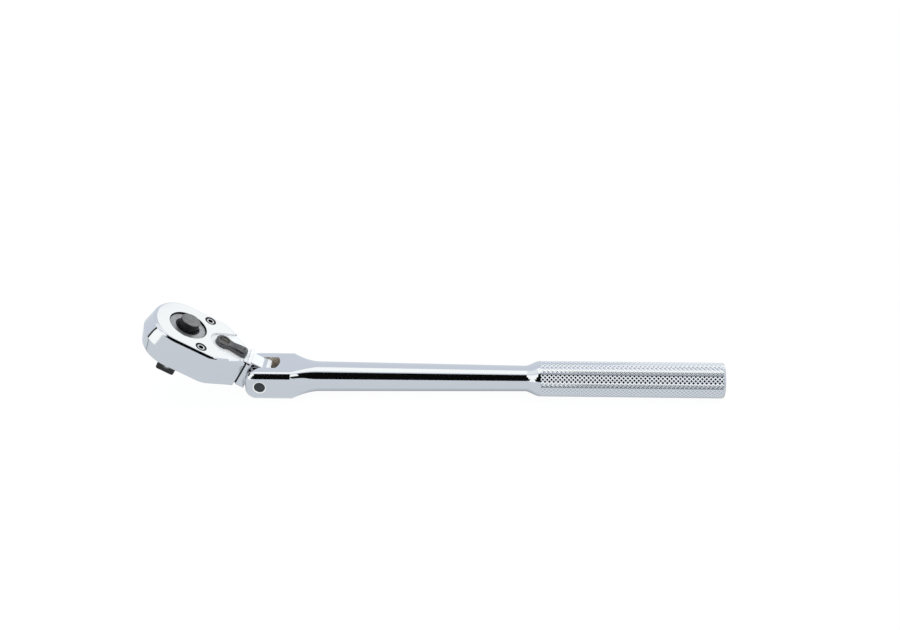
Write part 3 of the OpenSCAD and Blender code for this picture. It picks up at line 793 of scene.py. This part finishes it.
# Painted light: the button's top keeps the lighter black, and its walls take the pin's darker black.
button.data.materials.append(pin_black)
for face in button.data.polygons:
    if abs(face.normal.dot(drive_axis)) < 0.5:
        face.material_index = 1
polish(button)
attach(button, "button")
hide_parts("release_button")
ball_steel = ground_steel("ball_steel", (0.62, 0.62, 0.63), 0.08, 0.16)
dress("snap_ring", black_steel_and_painted_shade)
dress("release_rod", steel)
wind_spring("button_spring", "drive", head_spot(0, 0, spring_low), button_coil_r, button_wire, spring_len,
            button_turns)
dress("detent_ball", ball_steel)

# Selector: shaft, spring, plunger and pawl, with the rubber ring round the shaft.
# Ground steel pieces that sit in the neck under the lever. The spring plunger tips the pawl over so
# that one horn or the other holds the gear. The ring keeps dirt out.
lever_swing = math.radians(6)
selector_len = 3.0
selector_coil_r = 0.72
selector_wire = 0.18
selector_turns = 4
cross_hole_x = -1.85
cross_hole_z = (pocket_low + pocket_high) / 2
seal_rubber, rubber_shader, rubber_spot, add, link = finish_nodes("seal_rubber")
rubber_shader.inputs["Base Color"].default_value = (0.012, 0.012, 0.012, 1)
dust = add("TexNoise", Vector=rubber_spot, Scale=2500.0, Detail=3.0)
dull = add("MapRange", Value=dust.outputs["Fac"], To_Min=0.55, To_Max=0.8)
link(dull.outputs["Result"], "Roughness")
dress("lever_seal", seal_rubber)
for inner in ("selector_shaft", "selector_plunger", "pawl"):
    dress(inner, steel)
lever_place = lever_spot @ Matrix.Rotation(-lever_swing, 4, "Z")
cross_hole = (lever_place @ Matrix.Translation(Vector((cross_hole_x, 0, cross_hole_z)) * MM)
              @ Matrix.Rotation(math.radians(90), 4, "Y"))
wind_spring("selector_spring", "lever", cross_hole, selector_coil_r, selector_wire, selector_len,
            selector_turns)

# Cover plate.
# Pressed from steel sheet, cut out round the gear's disc and in a fan round the lever, countersunk for
# two screws, then polished and plated with the head.
opening_r = 9.8
fan_r = 6.9
fan_a = math.radians(35)
screw_head_r = 2.6
satin_cut = bright_chrome("satin_cut", (0.9, 0.9, 0.91), 0.4, 0.6, 0.02)


def fan_ring(z, radius):
    """The fan shaped cut round the lever, whose straight sides open towards the neck."""
    ring = [(lever_x + radius * math.cos(a), radius * math.sin(a), z)
            for a in spread(math.pi / 2 + fan_a, 3 * math.pi / 2 - fan_a, 40)]
    reach = 2 * head_r
    side = radius / math.cos(fan_a) + reach * math.tan(fan_a)
    return ring + [(lever_x + reach, -side, z), (lever_x + reach, side, z)]


plate_depths = sorted(down for out, down in edge_curve(top_edge_arcs) if down < plate_t) + [plate_t]
plate_rings = [head_ring(head_top - depth, top_edge(depth), False) for depth in reversed(plate_depths)]
plate = stack("cover_plate_skin", plate_rings, head_place, chrome)
# The opening's chamfer is painted shade: a dark ring round the gear's disc.
opening = [(opening_r, deck - 1), (opening_r, head_top - 0.12), (opening_r + 0.3, head_top + 0.18)]
carve(plate, turned("opening", opening, head_place, 128, black_steel_and_painted_shade))
fan = [fan_ring(deck - 1, fan_r), fan_ring(head_top - 0.06, fan_r), fan_ring(head_top + 0.2, fan_r + 0.26)]
carve(plate, stack("fan", fan, head_place, satin_cut))
for side in (-1, 1):
    # The countersinks are painted shade: a dark ring round each screw head.
    sink = [(1.6, deck - 1), (1.6, deck + 0.02), (screw_head_r + 0.1, head_top - 0.25),
            (screw_head_r + 0.6, head_top + 0.25)]
    carve(plate, turned("countersink", sink, head_spot(screw_x, side * screw_y), 48, black_steel_and_painted_shade))
polish(plate)
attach(plate, "head")
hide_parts("cover_plate")

# Cover screws.
# Two countersunk socket screws, blackened, with bright steel painted on their flat faces as a highlight.
# They are driven just below the top of the plate and hold it on the head.
screw_black = satin_black("screw_black", (0.03, 0.03, 0.032), 0.3, 0.5, 0.2)
screw_face_painted_highlight = ground_steel("screw_face_painted_highlight", (0.56, 0.56, 0.57), 0.14, 0.26)
screw_z = head_top - 0.15
screw_len = 5.8
screw_shank_r = 1.45
screw_profile = [(screw_shank_r, -screw_len), (screw_shank_r, plate_t - 1.85), (screw_head_r - 0.05, -0.2),
                 (screw_head_r - 0.1, -0.15), (screw_head_r - 0.75, 0), (1.5, 0)]
hex_socket = [(1.3, -1.1), (1.3, -0.15), (1.6, 0.15)]
for side, name in ((-1, "cover_screw_near"), (1, "cover_screw_far")):
    screw_spot = head_spot(screw_x, side * screw_y, screw_z)
    screw = turned(name, screw_profile, screw_spot, 64, screw_black)
    # Painted highlight: the flat faces that look up get the bright steel.
    screw.data.materials.append(screw_face_painted_highlight)
    for face in screw.data.polygons:
        if face.normal.dot(drive_axis) > 0.99:
            face.material_index = 1
    carve(screw, turned("hex_socket", hex_socket, screw_spot, 6, screw_black))
    polish(screw, 25)
    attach(screw, "head")
    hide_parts("cover_screws")

# Reversing lever and its screw.
# A blackened steel casting with a round end, a waist and a raised thumb piece. A small screw in the
# recess of the round end clamps it on the selector shaft.
lever_len = 13.1
lever_eye = 4.05
tip_r = 2.3
lever_hole_r = 1.45
lever_low = deck + 0.2
lever_flat = head_top + 1.5
thumb_top = head_top + 2.5
recess_r = 2.65


def lever_outline():
    """The lever from above as (x, y): round end, waist and the rounded end of the thumb piece."""
    eye = [(lever_eye * math.cos(a), lever_eye * math.sin(a))
           for a in spread(math.pi * 0.98, math.radians(66), 26)]
    waist = [(2.4, 3.15), (3.6, 2.84), (4.8, 2.7), (6.2, 2.78), (8.0, 3.02), (9.8, 3.25), (11.0, 3.35)]
    tip = [(lever_len - tip_r + tip_r * math.cos(a), 1.05 + tip_r * math.sin(a))
           for a in spread(math.pi / 2, 0.02, 12)]
    half = eye + waist + tip + [(lever_len, 0.6)]
    return half + [(x, -y) for x, y in reversed(half)]


def lever_ring(inset, lift):
    """A ring on the lever's rounded edge, as shares from 0 to 1 of the way in and of the way up it."""
    outline = lever_outline()
    ring = []
    for i, (x, y) in enumerate(outline):
        x0, y0 = outline[i - 1]
        x1, y1 = outline[(i + 1) % len(outline)]
        long = math.hypot(x1 - x0, y1 - y0)
        nx = -(y1 - y0) / long
        ny = (x1 - x0) / long
        rise = ease((x - 4.2) / 4.0)
        crown = lever_flat + (thumb_top - lever_flat) * rise
        foot = crown - 0.6 - 1.3 * rise
        width = inset * (0.6 + 1.5 * rise)
        ring.append((x - width * nx, y - width * ny, foot + (crown - foot) * lift))
    return ring


lever_black = satin_black("lever_black", (0.105, 0.105, 0.107), 0.22, 0.34, 0.1)
lever_rings = [[(x, y, lever_low + up) for x, y, z in lever_ring(inset, 0)]
               for inset, up in ((0.1, 0), (0, 0.15))]
for q in spread(0, math.pi / 2, 10):
    lever_rings.append(lever_ring(1 - math.cos(q), math.sin(q)))
lever = stack("lever_casting", lever_rings, lever_place, lever_black, True)
recess_z = lever_flat - 0.9
recess = [(lever_hole_r, lever_low - 1), (lever_hole_r, recess_z), (recess_r, recess_z),
          (recess_r, lever_flat - 0.1), (recess_r + 0.5, lever_flat + 0.4)]
carve(lever, turned("recess", recess, lever_place, 64))
polish(lever)
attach(lever, "lever")
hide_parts("reversing_lever")
screw_grey = ground_steel("screw_grey", (0.1, 0.093, 0.085), 0.25, 0.4)
dress("lever_screw", screw_grey)

# Floor.
# A wide sheet of plain white paper that the tool lies on. Polished metal shows it a little bluer, and
# a painted shadow makes it darker right under the tool.
paper, paper_shader, paper_spot, add, link = finish_nodes("white_paper")
paper_shader.inputs["Base Color"].default_value = (0.06, 0.06, 0.06, 1)
paper_shader.inputs["Roughness"].default_value = 0.9
paper_shader.inputs["Specular IOR Level"].default_value = 0.0
paper_shader.inputs["Emission Strength"].default_value = 0.95
apart = add("SeparateXYZ", Vector=paper_spot)
away = add("Math", Value=apart.outputs["Y"])
away.operation = "ABSOLUTE"
# Painted shadow: reflections see the sheet darker within 9 mm of the line under the tool.
shade = add("MapRange", Value=away.outputs["Value"], From_Min=0.001, From_Max=0.009)
painted_contact_shadow = add("Mix", Factor=shade.outputs["Result"])
painted_contact_shadow.data_type = "RGBA"
painted_contact_shadow.inputs["A"].default_value = (0.36, 0.39, 0.42, 1)
painted_contact_shadow.inputs["B"].default_value = (0.82, 0.872, 0.912, 1)
ray = add("LightPath")
sheen = add("Mix")
sheen.data_type = "RGBA"
sheen.inputs["A"].default_value = (1, 1, 1, 1)
paper.node_tree.links.new(painted_contact_shadow.outputs["Result"], sheen.inputs["B"])
paper.node_tree.links.new(ray.outputs["Is Glossy Ray"], sheen.inputs["Factor"])
link(sheen.outputs["Result"], "Emission Color")
paper_half = 6000.0
paper_z = -0.05
paper_plan = [(-paper_half, -paper_half), (paper_half, -paper_half), (paper_half, paper_half),
              (-paper_half, paper_half)]
paper_sheet = [(x, y, paper_z) for x, y in paper_plan]
floor = new_piece("floor", paper_sheet, [[0, 1, 2, 3]], Matrix.Identity(4), paper)

# Studio light.
# A white room with soft lamps overhead, at the left, behind and on the near side. A dark card there draws
# the black line along polished metal, and the dark frame of the left lamp the line beside the nose.
world = bpy.data.worlds.new("studio")
world.use_nodes = True
bpy.context.scene.world = world
sky = world.node_tree.nodes["Background"]
path = world.node_tree.nodes.new("ShaderNodeLightPath")
pick = world.node_tree.nodes.new("ShaderNodeMix")
pick.data_type = "RGBA"
pick.inputs["A"].default_value = (0.85, 0.91, 0.99, 1)
pick.inputs["B"].default_value = (1, 1, 1, 1)
world.node_tree.links.new(path.outputs["Is Camera Ray"], pick.inputs["Factor"])
world.node_tree.links.new(pick.outputs["Result"], sky.inputs["Color"])
lamp_white = (1.0, 0.95, 0.74)


def soft_lamp(name, spot, aim, size_x, size_y, glow):
    """A flat lamp of even glow, where 1 is the white of the room."""
    lamp = bpy.data.lights.new(name, "AREA")
    lamp.shape = "RECTANGLE"
    lamp.size = size_x
    lamp.size_y = size_y
    lamp.energy = glow * math.pi * size_x * size_y
    lamp.color = lamp_white
    holder = bpy.data.objects.new(name, lamp)
    holder.location = spot
    holder.rotation_mode = "QUATERNION"
    holder.rotation_quaternion = (Vector(aim) - Vector(spot)).to_track_quat("-Z", "Y")
    bpy.context.scene.collection.objects.link(holder)
    return holder


soft_lamp("overhead_lamp", (0.3, -0.03, 0.8), (0.3, -0.03, 0.0), 1.2, 0.5, 0.56)
soft_lamp("overhead_left_lamp", (-0.75, -0.03, 0.8), (-0.75, -0.03, 0.0), 0.9, 0.5, 0.3)
soft_lamp("back_lamp", (0.75, 0.9, 0.5), (0.75, 0.0, 0.5), 1.15, 0.8, 0.54)
soft_lamp("left_lamp", (-0.8, -0.5, 0.155), (0.0, -0.5, 0.155), 0.9, 0.3, 0.56)
soft_lamp("near_left_lamp", (-0.64, -0.534, 0.52), (-0.64, 0.186, -0.174), 0.72, 0.5, 0.56)
soft_lamp("near_right_lamp", (0.91, -0.4805, 0.575), (0.91, 0.2395, -0.119), 0.58, 0.347, 0.56)
card_ink, ink_shader, ink_spot, add, link = finish_nodes("card_ink")
ink_shader.inputs["Base Color"].default_value = (0.004, 0.004, 0.004, 1)
ink_shader.inputs["Roughness"].default_value = 1.0
ink_shader.inputs["Specular IOR Level"].default_value = 0.0
card_corners = [(-240, 700), (620, 700), (620, 450), (1200, 450), (1200, 140), (-790, 140), (-790, 340),
                (-560, 340), (-520, 480), (-290, 520)]
card_lean = 0.964
card_points = [(x, -360 - (700 - z) * card_lean + 1, z - 1) for x, z in card_corners]
lamp_edge_points = [(-799, -50, 5), (-799, 20, 5), (-799, 20, 305), (-799, -50, 305)]
for name, points in (("dark_card", card_points), ("lamp_frame", lamp_edge_points)):
    card = new_piece(name, points, [list(range(len(points)))], Matrix.Identity(4), card_ink)
    card.visible_camera = False
    card.visible_shadow = False
    card.visible_diffuse = False

# Camera.
# It stands on the near side, a little above the tool, as in the photograph.
camera_data = bpy.data.cameras.new("camera")
camera_data.sensor_width = 36.0
camera_data.lens = 58.32
camera = bpy.data.objects.new("camera", camera_data)
camera_spot = flex_pin + Vector((126.19, -617.35, 392.24)) * MM
camera_yaw = math.radians(2.89)
camera_pitch = math.radians(29.94)
camera_roll = math.radians(-0.91)
camera.matrix_world = (Matrix.Translation(camera_spot) @ Matrix.Rotation(camera_yaw, 4, "Z")
                       @ Matrix.Rotation(math.pi / 2 - camera_pitch, 4, "X")
                       @ Matrix.Rotation(camera_roll, 4, "Z"))
bpy.context.scene.collection.objects.link(camera)
bpy.context.scene.camera = camera
bpy.context.scene.view_settings.view_transform = "Standard"
